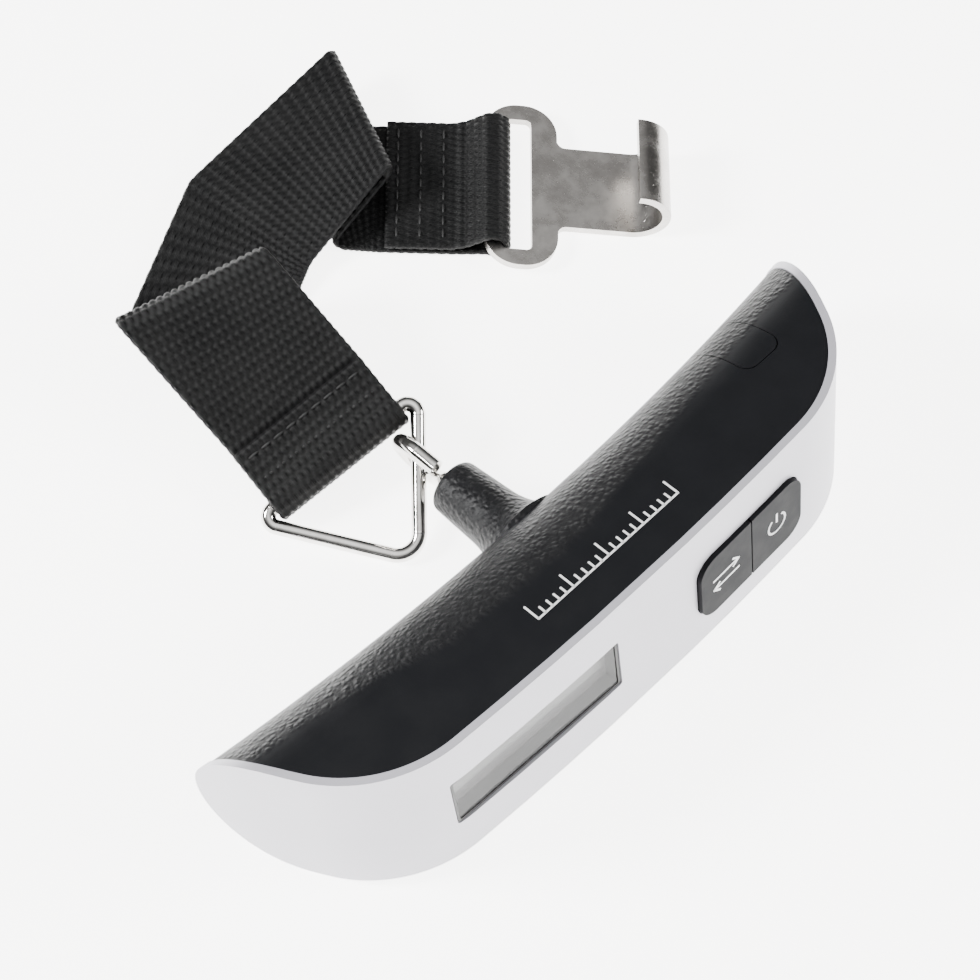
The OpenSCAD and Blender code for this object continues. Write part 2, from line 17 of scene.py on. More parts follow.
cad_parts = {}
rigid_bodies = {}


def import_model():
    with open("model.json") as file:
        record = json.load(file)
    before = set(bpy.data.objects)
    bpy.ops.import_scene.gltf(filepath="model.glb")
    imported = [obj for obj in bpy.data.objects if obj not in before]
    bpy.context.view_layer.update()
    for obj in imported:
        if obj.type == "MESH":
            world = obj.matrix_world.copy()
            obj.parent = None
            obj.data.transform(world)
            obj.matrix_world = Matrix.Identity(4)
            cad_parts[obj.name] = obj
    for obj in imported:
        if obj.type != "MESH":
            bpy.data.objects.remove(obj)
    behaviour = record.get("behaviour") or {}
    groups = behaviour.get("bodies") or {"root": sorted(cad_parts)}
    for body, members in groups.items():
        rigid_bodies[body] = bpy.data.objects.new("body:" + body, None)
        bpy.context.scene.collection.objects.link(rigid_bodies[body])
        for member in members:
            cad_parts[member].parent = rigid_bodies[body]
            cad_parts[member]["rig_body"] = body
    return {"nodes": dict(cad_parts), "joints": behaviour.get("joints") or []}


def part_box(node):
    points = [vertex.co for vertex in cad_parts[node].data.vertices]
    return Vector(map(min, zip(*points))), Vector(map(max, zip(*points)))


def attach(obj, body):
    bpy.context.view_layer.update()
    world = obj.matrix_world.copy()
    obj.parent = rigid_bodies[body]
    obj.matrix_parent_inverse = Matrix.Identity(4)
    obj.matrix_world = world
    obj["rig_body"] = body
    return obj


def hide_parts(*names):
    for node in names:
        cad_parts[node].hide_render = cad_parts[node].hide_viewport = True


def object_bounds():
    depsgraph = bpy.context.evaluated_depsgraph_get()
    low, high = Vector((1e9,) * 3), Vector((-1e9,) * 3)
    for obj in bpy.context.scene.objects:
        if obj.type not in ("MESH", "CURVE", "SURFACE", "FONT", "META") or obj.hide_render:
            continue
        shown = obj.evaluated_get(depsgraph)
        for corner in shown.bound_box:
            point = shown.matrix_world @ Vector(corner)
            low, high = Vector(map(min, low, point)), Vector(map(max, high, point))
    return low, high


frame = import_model()
cad_low, cad_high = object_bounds()
MM = 0.001
print("size in mm:", [round((h - l) / MM, 1) for l, h in zip(cad_low, cad_high)])

# %% [markdown]
# ## The handle's own frame
# The handle leans back by twelve degrees on its round rear side. Anything that belongs to
# it is easier to think of along its own length, depth and thickness, so two helpers go
# between that frame and the table. The middle of the swivel eye's rod gives the place of
# its axis, so nothing has to be typed in twice.

# %% Place the handle's frame
LEAN = math.radians(-12)
rod_low, rod_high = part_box("eye_washer")
rod_middle = (rod_low + rod_high) / 2
WASHER_Y = -1.55
turn_handle = Matrix.Rotation(LEAN, 4, "X")
handle_frame = Matrix.Translation(rod_middle - turn_handle @ (Vector((0, WASHER_Y, 15)) * MM)) @ turn_handle
to_handle = handle_frame.inverted()


def on_handle(x, y, z):
    """A point of the handle's own frame, in mm, on the table's frame in metres."""
    return handle_frame @ (Vector((x, y, z)) * MM)


print("neck's end on the table:", [round(v / MM, 2) for v in on_handle(0, 23.8, 15)])

# %% [markdown]
# ## A small shader language
# Every finish is a Principled shader whose colour, roughness and relief vary over the
# surface. Wiring Math nodes by hand is hard to read, so one class wraps a socket: sums and
# products of wires add the Math nodes, and one method makes any other node.

# %% Wires and finishes
class Wire:
    """One output socket. Arithmetic on wires adds Math nodes to the same tree."""

    def __init__(self, tree, socket):
        self.tree, self.socket = tree, socket

    def node(self, kind, settings, inputs, output=0):
        made = self.tree.nodes.new(kind)
        for key, value in settings.items():
            if key == "stops":
                ramp = made.color_ramp
                while len(ramp.elements) < len(value):
                    ramp.elements.new(0.5)
                for element, (at, level) in zip(ramp.elements, value):
                    element.position = at
                    element.color = (level, level, level, 1) if isinstance(level, float) else level
            else:
                setattr(made, key, value)
        for key, value in inputs.items():
            if isinstance(value, Wire):
                self.tree.links.new(value.socket, made.inputs[key])
            else:
                made.inputs[key].default_value = value
        return Wire(self.tree, made.outputs[output])

    def maths(self, operation, *values):
        return self.node("ShaderNodeMath", {"operation": operation}, dict(enumerate(values)))

    def __add__(self, other):
        return self.maths("ADD", self, other)

    def __sub__(self, other):
        return self.maths("SUBTRACT", self, other)

    def __rsub__(self, other):
        return self.maths("SUBTRACT", other, self)

    def __mul__(self, other):
        return self.maths("MULTIPLY", self, other)

    __radd__ = __add__
    __rmul__ = __mul__

    def noise(self, grain_mm, detail=2.0, roughness=0.5):
        """Soft noise whose features are about grain_mm across."""
        inputs = {"Vector": self, "Scale": 1000 / grain_mm, "Detail": detail, "Roughness": roughness}
        return self.node("ShaderNodeTexNoise", {}, inputs, "Fac")

    def between(self, low, high, out_low=0.0, out_high=1.0):
        """Maps low..high smoothly onto out_low..out_high."""
        inputs = {"Value": self, "From Min": low, "From Max": high, "To Min": out_low, "To Max": out_high}
        return self.node("ShaderNodeMapRange", {"interpolation_type": "SMOOTHSTEP"}, inputs, "Result")

    def mix(self, first, second):
        """A colour from first to second, as this wire goes from 0 to 1."""
        return self.node("ShaderNodeMix", {"data_type": "RGBA"}, {0: self, 6: first, 7: second}, 2)

    def relief(self, distance_mm, under=None):
        """This wire as a height of up to distance_mm, on top of another relief if one is given."""
        inputs = {"Height": self, "Distance": distance_mm * MM, "Strength": 1.0}
        if under is not None:
            inputs["Normal"] = under
        return self.node("ShaderNodeBump", {}, inputs, "Normal")


class Finish:
    """A material with one Principled shader. Constants are set on it, and wires are fed to it."""

    def __init__(self, name, **constants):
        self.material = bpy.data.materials.new(name)
        self.material.use_nodes = True
        tree = self.material.node_tree
        self.shader = tree.nodes["Principled BSDF"]
        for key, value in constants.items():
            self.shader.inputs[key.replace("_", " ")].default_value = value
        coords = tree.nodes.new("ShaderNodeTexCoord")
        self.place = Wire(tree, coords.outputs["Object"])
        self.uv = Wire(tree, coords.outputs["UV"])

    def feed(self, **wires):
        for key, wire in wires.items():
            wire.tree.links.new(wire.socket, self.shader.inputs[key.replace("_", " ")])
        return self


def grey(level, tint=(1.0, 1.0, 1.0)):
    return (level * tint[0], level * tint[1], level * tint[2], 1.0)


# %% [markdown]
# ## The handle's two plastics
# The silver cover is lacquered: a cool light grey with a fine metallic grain and hardly any
# relief. The black housing is moulded in two textures. Its front part is satin smooth, and
# towards the rear, where the fingers go, it has a leather grain. The line between them
# runs along the handle, so it is a ramp over the handle's own length, read through a
# Mapping node that turns table coordinates into handle coordinates.

# %% Silver lacquer
silver = Finish("silver_lacquer", Metallic=0.25, Specular_IOR_Level=0.5)
speck = silver.place.noise(0.12, 1.0)
cloud = silver.place.noise(22.0, 2.0)
SILVER_TINT = (0.985, 0.965, 1.05)
silver.feed(
    Base_Color=(speck * 0.5 + cloud * 0.5).between(0.3, 0.7).mix(grey(0.42, SILVER_TINT), grey(0.47, SILVER_TINT)),
    Roughness=speck.between(0.3, 0.7, 0.34, 0.46),
    Normal=silver.place.noise(0.25, 2.0).relief(0.004),
)
print("silver lacquer ready")

# %% Black plastic with a leather grain at the rear
GRAIN_LINE = [
    (-57, 1.8), (-48.6, 1.2), (-25.6, -5.5), (-4.7, -6.6),
    (4.5, -6.1), (35.6, -0.3), (49, 2), (54, 2.7),
]


def black_plastic(name):
    made = Finish(name, Metallic=0.0, Specular_IOR_Level=0.18)
    shift = to_handle.translation
    turned = made.place.node(
        "ShaderNodeMapping", {},
        {"Vector": made.place, "Location": shift, "Rotation": (-LEAN, 0, 0)}, "Vector",
    )
    split = {"Vector": turned}
    along = made.place.node("ShaderNodeSeparateXYZ", {}, split, "X") * (1 / (120 * MM)) + 0.5
    depth = made.place.node("ShaderNodeSeparateXYZ", {}, split, "Y")
    stops = [(x / 120 + 0.5, (y + 20) / 40) for x, y in GRAIN_LINE]
    line = made.place.node("ShaderNodeValToRGB", {"stops": stops}, {"Fac": along}, "Color")
    wander = made.place.noise(3.0, 2.0) * (1.4 * MM)
    rear = (depth + wander - (line * (40 * MM) - 20 * MM)).between(0.1 * MM, 1.9 * MM)
    warp = made.place.node(
        "ShaderNodeVectorMath", {"operation": "MULTIPLY_ADD"},
        {0: made.place.node(
            "ShaderNodeTexNoise", {}, {"Vector": made.place, "Scale": 900.0, "Detail": 2.0}, "Color"),
         1: (0.5 * MM, 0.5 * MM, 0.5 * MM), 2: made.place}, "Vector",
    )
    cells = made.place.node(
        "ShaderNodeTexVoronoi", {"feature": "SMOOTH_F1"},
        {"Vector": warp, "Scale": 1000 / 0.95, "Smoothness": 0.3}, "Distance",
    )
    pebbles = (1.0 - cells).between(0.25, 1.0) * 0.7 + made.place.noise(0.5, 3.0) * 0.5
    smooth = made.place.noise(0.3, 2.0) * 0.06
    height = pebbles * rear + smooth * (1.0 - rear)
    dust = made.place.noise(1.3, 5.0, 0.7).between(0.72, 0.78)
    made.feed(
        Base_Color=(rear * 0.6 + dust * 0.35).mix(
            grey(0.0055, (0.92, 0.98, 1.2)), grey(0.010, (1.0, 1.0, 1.05))),
        Roughness=made.place.noise(6.0, 3.0).between(0.3, 0.7, 0.38, 0.46) + rear * 0.02,
        Normal=height.relief(0.2),
    )
    return made


black = black_plastic("black_grained_plastic")
print("black plastic ready, grain line over", len(GRAIN_LINE), "points")

# %% [markdown]
# ## Metals
# The eye and the ring are bright nickel wire: almost a mirror, with a soft brushed drift
# along them. The hook is pressed from nickel plated sheet. It is duller, and has a cloudy
# plating with pin-prick specks and hair scratches from use.

# %% Nickel wire
wire_nickel = Finish("bright_nickel", Metallic=1.0)
drift = wire_nickel.place.noise(2.5, 3.0)
wire_nickel.feed(
    Base_Color=drift.between(0.3, 0.7).mix(grey(0.60, (1.0, 0.97, 0.93)), grey(0.72, (1.0, 0.98, 0.95))),
    Roughness=drift.between(0.3, 0.8, 0.08, 0.15),
    Normal=wire_nickel.place.noise(0.8, 3.0).relief(0.01),
)

# %% Nickel plated sheet
sheet_nickel = Finish("nickel_sheet", Metallic=1.0)
haze = sheet_nickel.place.noise(5.0, 4.0, 0.65)
pits = sheet_nickel.place.noise(0.33, 2.0).between(0.70, 0.76)
stretched = sheet_nickel.place.node(
    "ShaderNodeMapping", {},
    {"Vector": sheet_nickel.place, "Rotation": (0.0, 0.0, math.radians(-20)), "Scale": (1.0, 14.0, 1.0)},
    "Vector",
)
scratches = stretched.noise(2.6, 2.0).between(0.70, 0.73) * sheet_nickel.place.noise(7.0, 1.0).between(0.5, 0.6)
marks = (pits + scratches).between(0.1, 0.9)
sheet_nickel.feed(
    Base_Color=(haze.between(0.3, 0.7) * 0.6 + marks * 0.4).mix(
        grey(0.36, (1.0, 0.95, 0.9)), grey(0.60, (1.0, 0.97, 0.93))),
    Roughness=haze.between(0.3, 0.7, 0.22, 0.34) + marks * 0.12,
    Normal=(sheet_nickel.place.noise(0.45, 3.0) * 0.5 + marks * 0.5).relief(0.02),
)
print("two nickel finishes ready")

# %% [markdown]
# ## The smaller finishes
# The display, the keys and everything inside the shell get a finish of their own too. They
# share one recipe: two close colours mixed by soft noise, a roughness that wanders a
# little, and a fine relief. Only the numbers differ.

# %% One recipe for many small parts
def mottled(name, dark, light, rough, grain_mm, relief_mm, tint=(1.0, 1.0, 1.0), **constants):
    made = Finish(name, **constants)
    soft = made.place.noise(grain_mm, 3.0).between(0.3, 0.7)
    fine = made.place.noise(grain_mm / 6, 2.0)
    made.feed(
        Base_Color=soft.mix(grey(dark, tint), grey(light, tint)),
        Roughness=soft * 0.08 + rough,
        Normal=fine.relief(relief_mm),
    )
    return made


small = {
    "key_rubber": mottled("key_rubber", 0.007, 0.010, 0.5, 3.0, 0.006, (0.95, 0.97, 1.1), Specular_IOR_Level=0.06),
    "print_white": mottled("print_white", 0.70, 0.80, 0.5, 0.8, 0.004),
    "display_glass": mottled("display_glass", 0.26, 0.30, 0.35, 12.0, 0.0005, (0.98, 1.0, 1.0)),
    "display_frame": mottled("display_frame", 0.006, 0.009, 0.45, 2.0, 0.01),
    "diffuser": mottled("diffuser_white", 0.75, 0.82, 0.5, 3.0, 0.01),
    "board_green": mottled("board_green", 0.5, 0.7, 0.35, 2.0, 0.01, (0.06, 0.35, 0.12)),
    "epoxy_drop": mottled("epoxy_drop", 0.008, 0.012, 0.2, 2.0, 0.02),
    "dome_red": mottled("dome_red", 0.5, 0.6, 0.45, 1.0, 0.01, (1.0, 0.12, 0.08)),
    "stripe_rubber": mottled("stripe_rubber", 0.5, 0.6, 0.6, 1.0, 0.01, (1.0, 0.55, 0.6)),
    "cable_red": mottled("cable_red", 0.4, 0.5, 0.45, 1.0, 0.01, (1.0, 0.08, 0.06)),
    "gauge_film": mottled("gauge_film", 0.45, 0.6, 0.35, 0.5, 0.01, (1.0, 0.6, 0.2)),
    "milled_alloy": mottled("milled_alloy", 0.6, 0.7, 0.3, 1.5, 0.01, Metallic=1.0),
    "zinc_plate": mottled("zinc_plate", 0.5, 0.62, 0.3, 1.2, 0.01, (0.97, 0.98, 1.0), Metallic=1.0),
    "acetal": mottled("acetal_bush", 0.5, 0.56, 0.4, 1.0, 0.01),
    "cell_case": mottled("cell_case", 0.6, 0.68, 0.22, 1.5, 0.006, Metallic=1.0),
    "spring_brass": mottled("spring_brass", 0.55, 0.65, 0.3, 1.0, 0.01, (1.0, 0.85, 0.55), Metallic=1.0),
}
window = Finish("clear_window", IOR=1.5, Transmission_Weight=0.0, Alpha=0.22)
window.feed(
    Base_Color=window.place.noise(12.0).mix(grey(0.30), grey(0.34)),
    Roughness=window.place.noise(8.0, 2.0).between(0.3, 0.7, 0.05, 0.1),
)
window.material.surface_render_method = "BLENDED"
print(len(small) + 1, "small finishes ready")

# %% Dress the CAD nodes
DRESS = {
    silver: ["front_cover"],
    black: ["housing", "battery_door"],
    wire_nickel: ["swivel_eye", "triangle_ring"],
    sheet_nickel: ["hook"],
    window: ["lcd_window"],
    small["key_rubber"]: ["unit_key", "power_key"],
    small["display_glass"]: ["lcd_panel"],
    small["display_frame"]: ["lcd_frame", "unit_switch", "power_switch", "battery_holder"],
    small["diffuser"]: ["backlight"],
    small["stripe_rubber"]: ["lcd_connector"],
    small["board_green"]: ["circuit_board"],
    small["epoxy_drop"]: ["controller_blob"],
    small["dome_red"]: ["unit_plunger", "power_plunger"],
    small["cable_red"]: ["gauge_cable"],
    small["gauge_film"]: ["strain_gauges"],
    small["milled_alloy"]: ["load_cell"],
    small["zinc_plate"]: ["board_screws", "load_cell_screws", "eye_washer", "eye_nut"],
    small["acetal"]: ["neck_bush"],
    small["cell_case"]: ["coin_cell"],
    small["spring_brass"]: ["positive_contact", "negative_contact"],
}


def dress(piece, made):
    piece.data.materials.clear()
    piece.data.materials.append(made.material)


for made, nodes in DRESS.items():
    for node in nodes:
        dress(frame["nodes"][node], made)
print(sum(len(nodes) for nodes in DRESS.values()), "of", len(frame["nodes"]), "nodes dressed")

# %% [markdown]
# ## Soft edges
# A moulded or pressed part never has a knife edge: the light catches a thin rounded line
# along every rim. A copy of the CAD node is merged, its flat triangles are dissolved, and
# the edges that are still sharp get a small round bevel. The copy then stands for the node.

# %% Round the sharp edges of a node
def finished_piece(mesh, name, made, body, sharp=40):
    data = bpy.data.meshes.new(name)
    for edge in mesh.edges:
        edge.smooth = len(edge.link_faces) == 2 and edge.calc_face_angle(0) < math.radians(sharp)
    for face in mesh.faces:
        face.smooth = True
    mesh.to_mesh(data)
    mesh.free()
    piece = bpy.data.objects.new(name, data)
    bpy.context.scene.collection.objects.link(piece)
    dress(piece, made)
    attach(piece, body)
    return piece


def softened(node, name, made, radius_mm, segments=3, sharp=38):
    mesh = bmesh.new()
    mesh.from_mesh(frame["nodes"][node].data)
    bmesh.ops.remove_doubles(mesh, verts=mesh.verts, dist=0.002 * MM)
    bmesh.ops.dissolve_limit(mesh, angle_limit=math.radians(0.4), verts=mesh.verts, edges=mesh.edges)
    rims = [e for e in mesh.edges if len(e.link_faces) == 2 and e.calc_face_angle(0) > math.radians(sharp)]
    bmesh.ops.bevel(
        mesh, geom=rims, offset=radius_mm * MM, segments=segments, profile=0.5,
        affect="EDGES", material=-1, clamp_overlap=True,
    )
    piece = finished_piece(mesh, name, made, frame["nodes"][node]["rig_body"])
    weighted = piece.modifiers.new("flat_faces_stay_flat", "WEIGHTED_NORMAL")
    weighted.keep_sharp = True
    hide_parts(node)
    print(name, "has", len(piece.data.polygons), "faces and", len(rims), "rounded edges")
    return piece


softened("hook", "pressed_hook", sheet_nickel, 0.28)
softened("front_cover", "lacquered_cover", silver, 0.22)
softened("battery_door", "grained_door", black, 0.18)
softened("unit_key", "unit_cap", small["key_rubber"], 0.3)
softened("power_key", "power_cap", small["key_rubber"], 0.3)

# %% [markdown]
# ## The webbing
# The strap is one length of black webbing, 26 mm wide. It is sewn round the long side of
# the ring, stands up in a fold, doubles back, turns on the table, folds once more and ends
# in a loop round the hook's bar. Both edges are followed as lines from crease to crease;
# between them lies the cloth. Its weave is coarse enough to see as relief: rows of short
# lumps, each row shifted by half a lump, on both faces, and a corded selvedge.

# %% The route of both edges
RING_JOINT = next(j for j in frame["joints"] if j["name"] == "strap_hinge")
BAR_JOINT = next(j for j in frame["joints"] if j["name"] == "hook_hinge")
ring_middle, ring_along = Vector(RING_JOINT["pos_m"]) / MM, Vector(RING_JOINT["axis"])
bar_middle, bar_along = Vector(BAR_JOINT["pos_m"]) / MM, -Vector(BAR_JOINT["axis"])
STRAP_W = 26.0
CREASES_LEFT = [
    (-27.92, 40.42, 17.4), (-21.02, 47.42, 0.8), (4.88, 60.42, 2.4),
    (38.48, 59.82, 10.6), (37.78, 59.72, 7.4), (24.88, 59.02, 0.8),
]
CREASES_RIGHT = [
    (-1.82, 34.62, 20.8), (0.38, 30.02, 0.8), (8.58, 33.62, 3.2),
    (28.48, 34.82, 11.6), (27.88, 34.72, 8.4), (13.88, 34.62, 0.8),
]
CREASE_ROUND = [2.2, 1.6, 5, 1.3, 1.3, 1.3]
creases = [[Vector(p) for p in side] for side in (CREASES_LEFT, CREASES_RIGHT)]
first_fold = (creases[0][0] + creases[1][0]) / 2 - ring_middle
ring_out = (first_fold - ring_along * first_fold.dot(ring_along)).normalized()
ring_up = ring_along.cross(ring_out)
bar_out = Vector((bar_along.y, -bar_along.x, 0))
UP = Vector((0, 0, 1))
LAYER = 0.75
HEM_RING, HEM_HOOK = 10.5, 18.5


def rounded(before, at, after, radius, steps):
    """A corner at one point of a line, rounded with a circle."""
    u, v = (before - at).normalized(), (after - at).normalized()
    half = u.angle(v) / 2
    cut = min(radius / math.tan(half), 0.46 * min((before - at).length, (after - at).length))
    middle = at + (u + v).normalized() * (cut / math.cos(half))
    start = at + u * cut - middle
    turn = math.pi - 2 * half
    across = (at + v * cut - middle - start * math.cos(turn)).normalized() * start.length
    return [middle + start * math.cos(turn * i / steps) + across * math.sin(turn * i / steps) for i in range(steps + 1)]


def ring_loop(edge):
    over = [(HEM_RING, LAYER), (8, LAYER), (5.8, LAYER + 0.02), (4.2, 1.0)]
    back = [(4.2, -1.0), (5.8, -LAYER - 0.02), (8, -LAYER), (HEM_RING + 1, -LAYER)]
    turn = [math.radians(57 + 246 * i / 20) for i in range(21)]
    line = over + [(2.17 * math.cos(a), 2.17 * math.sin(a)) for a in turn] + back
    return [edge + ring_out * s + ring_up * n for s, n in line]


def hook_loop(edge):
    floor = -edge.z
    turn = [math.radians(-118 + 236 * i / 20) for i in range(21)]
    under = [(-HEM_HOOK - 1, floor + LAYER), (-6.5, floor + LAYER), (-4.4, floor + LAYER + 0.1)]
    over = [(-4.4, floor + 3 * LAYER + 0.85), (-7, floor + 3 * LAYER), (-HEM_HOOK, floor + 3 * LAYER)]
    line = under + [(2.53 * math.cos(a), 2.53 * math.sin(a)) for a in turn] + over
    return [edge + bar_out * s + UP * n for s, n in line]


def edge_line(side):
    """One edge of the webbing, from its raw end over the ring to its raw end under the hook."""
    sign = -1 if side == 0 else 1
    start = ring_loop(ring_middle + ring_along * (sign * STRAP_W / 2))
    end = hook_loop(bar_middle - bar_along * (sign * STRAP_W / 2))
    points = [start[-1], *creases[side], end[0]]
    folds = [p for i, r in enumerate(CREASE_ROUND) for p in rounded(*points[i:i + 3], r, 10)]
    return start + folds + end


left_line, right_line = edge_line(0), edge_line(1)
print("the route has", len(left_line), "rungs")

# %% [markdown]
# Equal steps along the middle of the strap keep the lumps one size, so both edges are read
# off again at those steps. Every row of lumps takes four steps, and every lump is four
# columns wide: a lump that is shifted by half its width then still falls on the columns.

# %% Equal steps along the strap
ROW_MM, LUMP_MM, PER_LUMP = 1.76, 1.3, 4


def even_steps(left, right, step):
    middle = [(a + b) / 2 for a, b in zip(left, right)]
    length = [0.0]
    for a, b in zip(middle, middle[1:]):
        length.append(length[-1] + (b - a).length)
    count = round(length[-1] / step)
    at, pairs = 0, []
    for i in range(count + 1):
        want = length[-1] * i / count
        while at < len(length) - 2 and length[at + 1] < want:
            at += 1
        t = (want - length[at]) / (length[at + 1] - length[at])
        pairs.append((left[at].lerp(left[at + 1], t), right[at].lerp(right[at + 1], t)))
    return pairs, length[-1]


stations, strap_length = even_steps(left_line, right_line, ROW_MM / PER_LUMP)
print(len(stations), "stations over", round(strap_length, 1), "mm of webbing")

# %% Weave the strap
HALF_THICK, LUMP_HEIGHT = 0.34, 0.42
SCALLOP = 0.13


def cloth_normals(pairs):
    """The cloth's normal at both edges of each station."""
    found = []
    for i, (left, right) in enumerate(pairs):
        before, after = pairs[max(i - 1, 0)], pairs[min(i + 1, len(pairs) - 1)]
        found.append(tuple((right - left).cross(b - a).normalized() for a, b in zip(before, after)))
    return found


def section():
    """Points round the strap's cross-section: place across it, height, and which face it is on."""
    columns = round(STRAP_W / LUMP_MM) * PER_LUMP
    round_r = HALF_THICK
    flat = [-STRAP_W / 2 + STRAP_W * i / columns for i in range(1, columns)]
    top = [(x, round_r, 1) for x in flat]
    inner = STRAP_W / 2 - 0.06
    end = [(inner, round_r * 0.55, 0), (STRAP_W / 2, 0.0, 0), (inner, -round_r * 0.55, 0)]
    bottom = [(x, -round_r, -1) for x in reversed(flat)]
    return top + end + bottom + [(-x, -h, s) for x, h, s in end]


def lump(along, across):
    row = math.floor(along / ROW_MM + 1e-6)
    a = abs(math.sin(math.pi * along / ROW_MM))
    b = abs(math.sin(math.pi * (across / LUMP_MM + 0.5 * row)))
    return LUMP_HEIGHT * (a * b) ** 0.5


def weave():
    ring = section()
    normals = cloth_normals(stations)
    mesh = bmesh.new()
    bmesh.ops.create_grid(mesh, x_segments=len(ring), y_segments=len(stations) - 1, size=1.0)
    cells = mesh.loops.layers.uv.new("weave")
    step = strap_length / (len(stations) - 1)
    for face in mesh.faces:
        for corner in face.loops:
            u, v = (corner.vert.co.x + 1) / 2, (corner.vert.co.y + 1) / 2
            corner[cells].uv = (u * len(ring) * LUMP_MM / PER_LUMP, v * strap_length)
    for vert in mesh.verts:
        i = round((vert.co.x + 1) / 2 * len(ring)) % len(ring)
        j = round((vert.co.y + 1) / 2 * (len(stations) - 1))
        across, height, side = ring[i]
        left, right = stations[j]
        up = normals[j][0].lerp(normals[j][1], across / STRAP_W + 0.5).normalized()
        if side:
            height += side * lump(j * step, across)
        else:
            across += math.copysign(SCALLOP * abs(math.sin(math.pi * j * step / ROW_MM)), across)
        vert.co = (left.lerp(right, across / STRAP_W + 0.5) + up * height) * MM
    bmesh.ops.remove_doubles(mesh, verts=mesh.verts, dist=0.0005 * MM)
    bmesh.ops.holes_fill(mesh, edges=[e for e in mesh.edges if e.is_boundary], sides=0)
    bmesh.ops.recalc_face_normals(mesh, faces=mesh.faces)
    return mesh


webbing = Finish("black_polypropylene", Specular_IOR_Level=0.14)
thread_wave = webbing.uv.node(
    "ShaderNodeTexWave", {"bands_direction": "X"},
    {"Vector": webbing.uv, "Scale": 1.1, "Distortion": 1.5, "Detail": 2.0}, "Fac",
)
fuzz = webbing.place.noise(0.35, 4.0)
tone = webbing.place.noise(9.0, 3.0)
webbing.feed(
    Base_Color=(fuzz * 0.6 + tone * 0.4).between(0.3, 0.7).mix(
        grey(0.0035, (0.97, 1.0, 1.05)), grey(0.011, (1.0, 1.0, 1.0))),
    Roughness=fuzz.between(0.3, 0.7, 0.4, 0.58),
    Normal=(thread_wave * 0.5 + fuzz * 0.6).relief(0.09),
)
strap = finished_piece(weave(), "woven_strap", webbing, "webbing", sharp=80)
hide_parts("strap")
dress(frame["nodes"]["strap"], webbing)
print("woven strap:", len(strap.data.polygons), "faces")

# %% [markdown]
# ## Stitches
# Black thread holds both hems down: two rows across the ring hem and three across the hook
# hem. A stitch is a small flattened bead that sinks a little into the cloth.

# %% Sew both hems
def stitch_row(mesh, middle, across, up, out, offset, rise, pitch=2.5):
    """Beads across the webbing, offset along out from the loop's middle and rise above it."""
    count = round((STRAP_W - 3) / pitch)
    for i in range(count):
        at = middle + across * ((i + 0.5) / count - 0.5) * (STRAP_W - 3) + out * offset + up * rise
        turn = Matrix((across, out, up)).transposed().to_4x4()
        size = Matrix.Diagonal((1.05, 0.22, 0.2, 1))
        place = Matrix.Scale(MM, 4) @ Matrix.Translation(at) @ turn @ size
        bmesh.ops.create_uvsphere(mesh, u_segments=8, v_segments=6, radius=1.0, matrix=place)


thread = mottled("black_thread", 0.010, 0.016, 0.5, 0.4, 0.02)


def sewn(name, rows):
    mesh = bmesh.new()
    for row in rows:
        stitch_row(mesh, *row)
    piece = finished_piece(mesh, name, thread, "webbing")
    print(name, "has", len(piece.data.polygons), "faces")
    return piece


STITCH_RISE = 0.66
ring_rise, hook_rise = LAYER + STITCH_RISE, 3 * LAYER + STITCH_RISE - bar_middle.z
ring_rows = [(ring_middle, ring_along, ring_up, ring_out, offset, ring_rise) for offset in (4.6, 8.6)]
hook_rows = [(bar_middle, bar_along, UP, bar_out, offset, hook_rise) for offset in (-8.5, -12.5, -16.5)]
stitches = [sewn("ring_hem_stitches", ring_rows), sewn("hook_hem_stitches", hook_rows)]
strap_length * MM

# %% [markdown]
# ## Printing and the display
# White printing is a hair proud of the surface. The keys carry plain signs: a ring with a
# bar for power, and two arrows for the change of unit. The top of the handle has a plain
# row of scale marks. Every mark is made of small flat bars. Over the lower part of the
# display glass lies a dark strip of painted shade.

# %% Print the marks
def plane_frame(x, y, z, turn):
    """A frame on the handle, in mm, turned about the handle's upright axis."""
    return handle_frame @ Matrix.Scale(MM, 4) @ Matrix.Translation((x, y, z)) @ Matrix.Rotation(turn, 4, "Z")


FRONT_R, FRONT_Y, WALL = 624.0, -19.3, 1.3


def on_front(x, z):
    """The frame of something set in the front cover: its origin is on the cover's inner face."""
    inner_face = FRONT_Y + FRONT_R - math.sqrt(FRONT_R ** 2 - x ** 2) + WALL
    return plane_frame(x, inner_face, z, math.asin(x / FRONT_R))


def bar(mesh, place, start, end, width, thick=0.04):
    """A flat bar in the frame's X-Z plane, from start to end."""
    run = Vector((end[0] - start[0], 0, end[1] - start[1]))
    middle = Matrix.Translation(((start[0] + end[0]) / 2, 0, (start[1] + end[1]) / 2))
    turn = Matrix.Rotation(-math.atan2(run.z, run.x), 4, "Y")
    size = Matrix.Diagonal((run.length + width * 0.5, thick, width, 1))
    bmesh.ops.create_cube(mesh, size=1.0, matrix=place @ middle @ turn @ size)


def printed(name, place, strokes, body, width, made=None):
    mesh = bmesh.new()
    for stroke in strokes:
        for start, end in zip(stroke, stroke[1:]):
            bar(mesh, place, start, end, width)
    return finished_piece(mesh, name, made or small["print_white"], body)


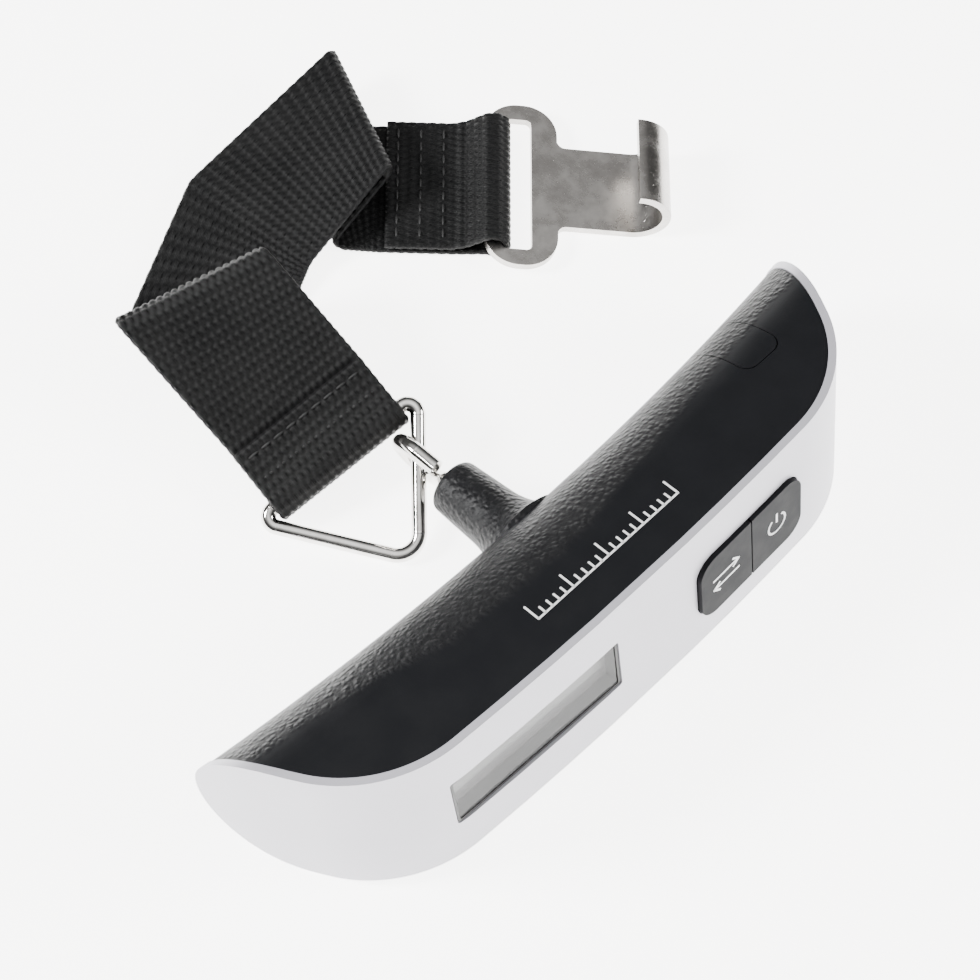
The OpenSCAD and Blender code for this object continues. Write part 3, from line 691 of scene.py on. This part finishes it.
keys = on_front(23.2, 13.6) @ Matrix.Translation((0, -WALL - 0.72, 0))
angles = [math.radians(38 + 284 * i / 24) for i in range(25)]
circle = [(6 + 2.0 * math.sin(a), 2.0 * math.cos(a)) for a in angles]
printed("power_sign", keys, [circle, [(6, 0.5), (6, 2.6)]], "power_button", 0.42)
there = [[(-9.2, 1.2), (-3.2, 1.2)], [(-4.6, 2.4), (-3.2, 1.2), (-4.6, 0.3)]]
back = [[(-9.2, -1.2), (-3.2, -1.2)], [(-7.8, -2.4), (-9.2, -1.2), (-7.8, -0.3)]]
printed("unit_sign", keys, there + back, "unit_button", 0.42)
top = plane_frame(0.5, -10.4, 29.82, 0) @ Matrix.Rotation(math.radians(90), 4, "X")
ticks = [[(-15 + 1.5 * k, 1.5), (-15 + 1.5 * k, -1.5 if k % 5 == 0 else 0.1)] for k in range(21)]
printed("scale_marks", top, ticks + [[(-15, 1.5), (15, 1.5)]], "handle", 0.34)

# %% Painted shade over the display's lower part
screen = on_front(-23.0, 15.0)
# Painted shade: a thin dark sheet laid over the lower part of the display, not a colour of the glass.
shade = mottled("display_painted_shade", 0.16, 0.18, 0.3, 12.0, 0.0005)
shade_strip_place = screen @ Matrix.Translation((0, 1.92, 0))
printed("painted_shade_strip", shade_strip_place, [[(-15.4, -4.3), (15.4, -4.3)]], "handle", 2.4, shade)
print("printing and display ready")

# %% [markdown]
# ## Stage, light and camera
# The floor is near white and matt. One large soft light hangs above and to the left, a
# weaker one fills from the right, and the sky is bright overhead but darker towards the
# horizon, so that bright metal shows dark streaks as well as light ones.

# %% Floor
floor_mesh = bmesh.new()
bmesh.ops.create_grid(floor_mesh, x_segments=1, y_segments=1, size=3.0)
bmesh.ops.translate(floor_mesh, verts=floor_mesh.verts, vec=(0, 0, cad_low[2] - 0.02 * MM))
floor_data = bpy.data.meshes.new("floor")
floor_mesh.to_mesh(floor_data)
floor_mesh.free()
floor = bpy.data.objects.new("floor", floor_data)
bpy.context.scene.collection.objects.link(floor)
paper = Finish("white_paper", Roughness=0.9, Specular_IOR_Level=0.1)
paper.feed(
    Base_Color=paper.place.noise(60.0).mix(grey(0.90, (1.0, 0.998, 0.99)), grey(0.92, (1.0, 0.998, 0.99))),
    Emission_Color=paper.place.noise(60.0).mix(grey(0.97, (1.0, 0.995, 0.98)), grey(0.99, (1.0, 0.995, 0.98))),
)
paper.shader.inputs["Emission Strength"].default_value = 5.5
dress(floor, paper)

# %% Lights
def soft_light(name, place, aim, size, power, tint=(1.0, 1.0, 1.0)):
    data = bpy.data.lights.new(name, "AREA")
    data.shape = "RECTANGLE"
    data.size, data.size_y, data.energy, data.color = size[0], size[1], power, tint
    lamp = bpy.data.objects.new(name, data)
    lamp.location = place
    lamp.rotation_euler = (Vector(aim) - Vector(place)).to_track_quat("-Z", "Y").to_euler()
    bpy.context.scene.collection.objects.link(lamp)


soft_light("key", (-0.45, 0.35, 0.45), (0, 0, 0), (0.2, 0.2), 11.0)
soft_light("front", (0.40, -0.45, 0.35), (0, 0, 0), (0.25, 0.25), 5.0)

world = bpy.data.worlds.new("soft_sky")
world.use_nodes = True
bpy.context.scene.world = world
tree = world.node_tree
coords = Wire(tree, tree.nodes.new("ShaderNodeTexCoord").outputs["Generated"])
height = coords.node("ShaderNodeSeparateXYZ", {}, {"Vector": coords}, "Z")
SKY = [(0.0, 0.08), (0.6, 0.10), (0.85, 0.8), (0.97, 2.2)]
sky = coords.node("ShaderNodeValToRGB", {"stops": SKY}, {"Fac": height}, "Color")
tree.links.new(sky.socket, tree.nodes["Background"].inputs["Color"])
tree.nodes["Background"].inputs["Strength"].default_value = 0.9

# %% Camera
camera_data = bpy.data.cameras.new("camera")
camera_data.lens, camera_data.sensor_width = 90.9, 36.0
camera = bpy.data.objects.new("camera", camera_data)
CAMERA_AT = Vector((-140.14, -133.85, 363.30)) * MM
RIGHT, ABOVE, BACK = (0.70703, -0.70552, 0.04851), (0.61583, 0.64797, 0.44821), (-0.34765, -0.28702, 0.89261)
camera.matrix_world = Matrix.Translation(CAMERA_AT) @ Matrix((RIGHT, ABOVE, BACK)).transposed().to_4x4()
bpy.context.scene.collection.objects.link(camera)
bpy.context.scene.camera = camera
